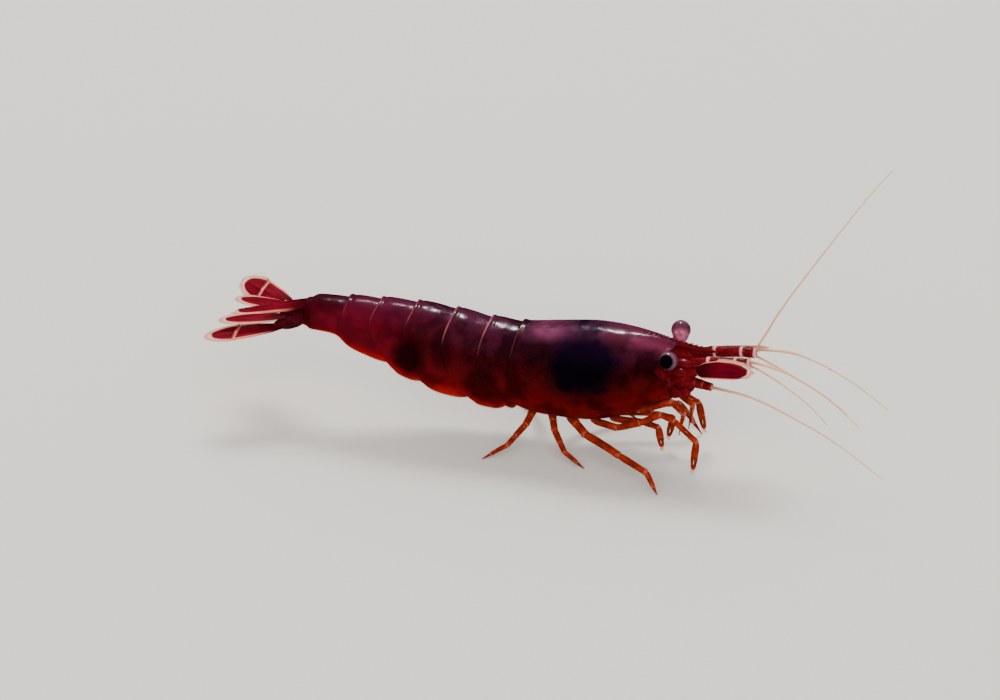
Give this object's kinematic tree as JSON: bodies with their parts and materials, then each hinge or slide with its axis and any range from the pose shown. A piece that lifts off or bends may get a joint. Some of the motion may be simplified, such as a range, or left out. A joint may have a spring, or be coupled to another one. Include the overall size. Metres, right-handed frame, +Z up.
{
  "type": "aquarium shrimp",
  "caption": "Life-size dwarf aquarium shrimp standing on its walking legs, with plated tail, fanned tail blades, stalked eyes and long feelers.",
  "frame": {"origin": "middle of the model's footprint, at the level of the feet", "axes": "+X towards the head and along the body, +Y towards the animal's left side, +Z up"},
  "size_m": [0.0356, 0.0106, 0.0147],
  "materials": {
    "body_shell": "glossy dark plum-red shell",
    "limb_shell": "glossy orange-red shell",
    "fin_shell": "thin glossy red shell with pale edges",
    "feeler": "pale orange, fine rings",
    "cornea": "black, wet gloss"
  },
  "bodies": {
    "root": {"abdomen_1": "body_shell", "abdomen_2": "body_shell", "abdomen_3": "body_shell", "abdomen_4": "body_shell", "abdomen_5": "body_shell", "abdomen_6": "body_shell", "antenna_base_left": "body_shell", "antenna_base_right": "body_shell", "antenna_scale_left": "fin_shell", "antenna_scale_right": "fin_shell", "antennule_left": "body_shell", "antennule_right": "body_shell", "carapace": "body_shell", "cheliped_1_left": "limb_shell", "cheliped_1_right": "limb_shell", "cheliped_2_left": "limb_shell", "cheliped_2_right": "limb_shell", "eye_left": "cornea", "eye_right": "cornea", "eyestalk_left": "body_shell", "eyestalk_right": "body_shell", "feeler_antenna_left": "feeler", "feeler_antenna_right": "feeler", "feeler_antennule_inner_left": "feeler", "feeler_antennule_inner_right": "feeler", "feeler_antennule_outer_left": "feeler", "feeler_antennule_outer_right": "feeler", "head": "body_shell", "leg_3_left": "limb_shell", "leg_3_right": "limb_shell", "leg_4_left": "limb_shell", "leg_4_right": "limb_shell", "leg_5_left": "limb_shell", "leg_5_right": "limb_shell", "maxilliped_left": "limb_shell", "maxilliped_right": "limb_shell", "mouthparts": "limb_shell", "pleopod_1_left": "fin_shell", "pleopod_1_right": "fin_shell", "pleopod_2_left": "fin_shell", "pleopod_2_right": "fin_shell", "pleopod_3_left": "fin_shell", "pleopod_3_right": "fin_shell", "pleopod_4_left": "fin_shell", "pleopod_4_right": "fin_shell", "pleopod_5_left": "fin_shell", "pleopod_5_right": "fin_shell", "rostrum": "body_shell", "sternum": "body_shell", "telson": "fin_shell", "uropod_base_left": "fin_shell", "uropod_base_right": "fin_shell", "uropod_inner_left": "fin_shell", "uropod_inner_right": "fin_shell", "uropod_outer_left": "fin_shell", "uropod_outer_right": "fin_shell"}
  },
  "joints": []
}
